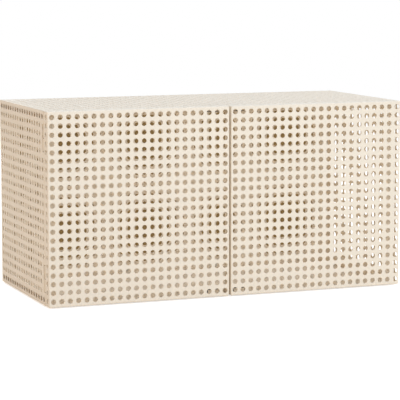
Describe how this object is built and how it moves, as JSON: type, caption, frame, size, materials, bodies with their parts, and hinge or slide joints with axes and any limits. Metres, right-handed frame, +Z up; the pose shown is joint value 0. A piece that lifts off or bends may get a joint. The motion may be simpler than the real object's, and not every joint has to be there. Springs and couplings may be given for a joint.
{
  "type": "record cabinet",
  "caption": "Low wide box cabinet folded from perforated sheet steel, with hinged push-to-open tray doors, a perforated top, sides and back, and low glides under a plain floor.",
  "frame": {"origin": "centre of the footprint, on the surface that the glides stand on", "axes": "+X along the width, to the right of someone who faces the doors; +Y to the back, away from the doors; +Z up"},
  "size_m": [0.798, 0.3616, 0.405],
  "materials": {
    "powder_coated_steel": "fine matt powder coat, cream",
    "zinc_plated_steel": "bright zinc plating, satin",
    "pin_steel": "ground steel pin, satin",
    "nylon": "black nylon, matt",
    "latch_plastic": "moulded acetal, dark, fine grain",
    "nickel_plated_magnet": "nickel plating, bright",
    "glide_plastic": "moulded polyethylene, light grey, matt"
  },
  "bodies": {
    "cabinet": {"left_side": "powder_coated_steel", "right_side": "powder_coated_steel", "bottom_panel": "powder_coated_steel", "top_panel": "powder_coated_steel", "lower_left_corner_rail": "powder_coated_steel", "lower_right_corner_rail": "powder_coated_steel", "upper_left_corner_rail": "powder_coated_steel", "upper_right_corner_rail": "powder_coated_steel", "back_panel": "powder_coated_steel", "back_screws": "zinc_plated_steel", "back_rivet_nuts": "zinc_plated_steel", "hinge_washers": "nylon", "lower_left_body_knuckle": "powder_coated_steel", "lower_left_hinge_pin": "pin_steel", "lower_left_latch_housing": "latch_plastic", "lower_left_latch_screws": "zinc_plated_steel", "lower_right_body_knuckle": "powder_coated_steel", "lower_right_hinge_pin": "pin_steel", "lower_right_latch_housing": "latch_plastic", "lower_right_latch_screws": "zinc_plated_steel", "upper_left_body_knuckle": "powder_coated_steel", "upper_left_hinge_pin": "pin_steel", "upper_left_latch_housing": "latch_plastic", "upper_left_latch_screws": "zinc_plated_steel", "upper_right_body_knuckle": "powder_coated_steel", "upper_right_hinge_pin": "pin_steel", "upper_right_latch_housing": "latch_plastic", "upper_right_latch_screws": "zinc_plated_steel", "front_left_glide": "glide_plastic", "front_right_glide": "glide_plastic", "rear_left_glide": "glide_plastic", "rear_right_glide": "glide_plastic"},
    "left_door": {"left_door": "powder_coated_steel", "lower_left_door_knuckle": "powder_coated_steel", "upper_left_door_knuckle": "powder_coated_steel", "lower_left_latch_strike": "powder_coated_steel", "upper_left_latch_strike": "powder_coated_steel"},
    "right_door": {"right_door": "powder_coated_steel", "lower_right_door_knuckle": "powder_coated_steel", "upper_right_door_knuckle": "powder_coated_steel", "lower_right_latch_strike": "powder_coated_steel", "upper_right_latch_strike": "powder_coated_steel"},
    "lower_left_plunger": {"lower_left_latch_plunger": "latch_plastic", "lower_left_latch_magnet": "nickel_plated_magnet"},
    "lower_right_plunger": {"lower_right_latch_plunger": "latch_plastic", "lower_right_latch_magnet": "nickel_plated_magnet"},
    "upper_left_plunger": {"upper_left_latch_plunger": "latch_plastic", "upper_left_latch_magnet": "nickel_plated_magnet"},
    "upper_right_plunger": {"upper_right_latch_plunger": "latch_plastic", "upper_right_latch_magnet": "nickel_plated_magnet"}
  },
  "joints": [
    {"name": "left_door_hinge", "type": "hinge", "parent": "cabinet", "child": "left_door", "pos_m": [-0.395, -0.15182, 0.204], "axis": [0, 0, -1], "range_deg": [0, 105]},
    {"name": "right_door_hinge", "type": "hinge", "parent": "cabinet", "child": "right_door", "pos_m": [0.395, -0.15182, 0.204], "axis": [0, 0, 1], "range_deg": [0, 105]},
    {"name": "lower_left_plunger_slide", "type": "slide", "parent": "cabinet", "child": "lower_left_plunger", "axis": [0, 1, 0], "range_m": [0, 0.0015], "stiffness_N_per_m": 2500, "springref_m": -0.0004},
    {"name": "lower_right_plunger_slide", "type": "slide", "parent": "cabinet", "child": "lower_right_plunger", "axis": [0, 1, 0], "range_m": [0, 0.0015], "stiffness_N_per_m": 2500, "springref_m": -0.0004},
    {"name": "upper_left_plunger_slide", "type": "slide", "parent": "cabinet", "child": "upper_left_plunger", "axis": [0, 1, 0], "range_m": [0, 0.0015], "stiffness_N_per_m": 2500, "springref_m": -0.0004},
    {"name": "upper_right_plunger_slide", "type": "slide", "parent": "cabinet", "child": "upper_right_plunger", "axis": [0, 1, 0], "range_m": [0, 0.0015], "stiffness_N_per_m": 2500, "springref_m": -0.0004}
  ]
}
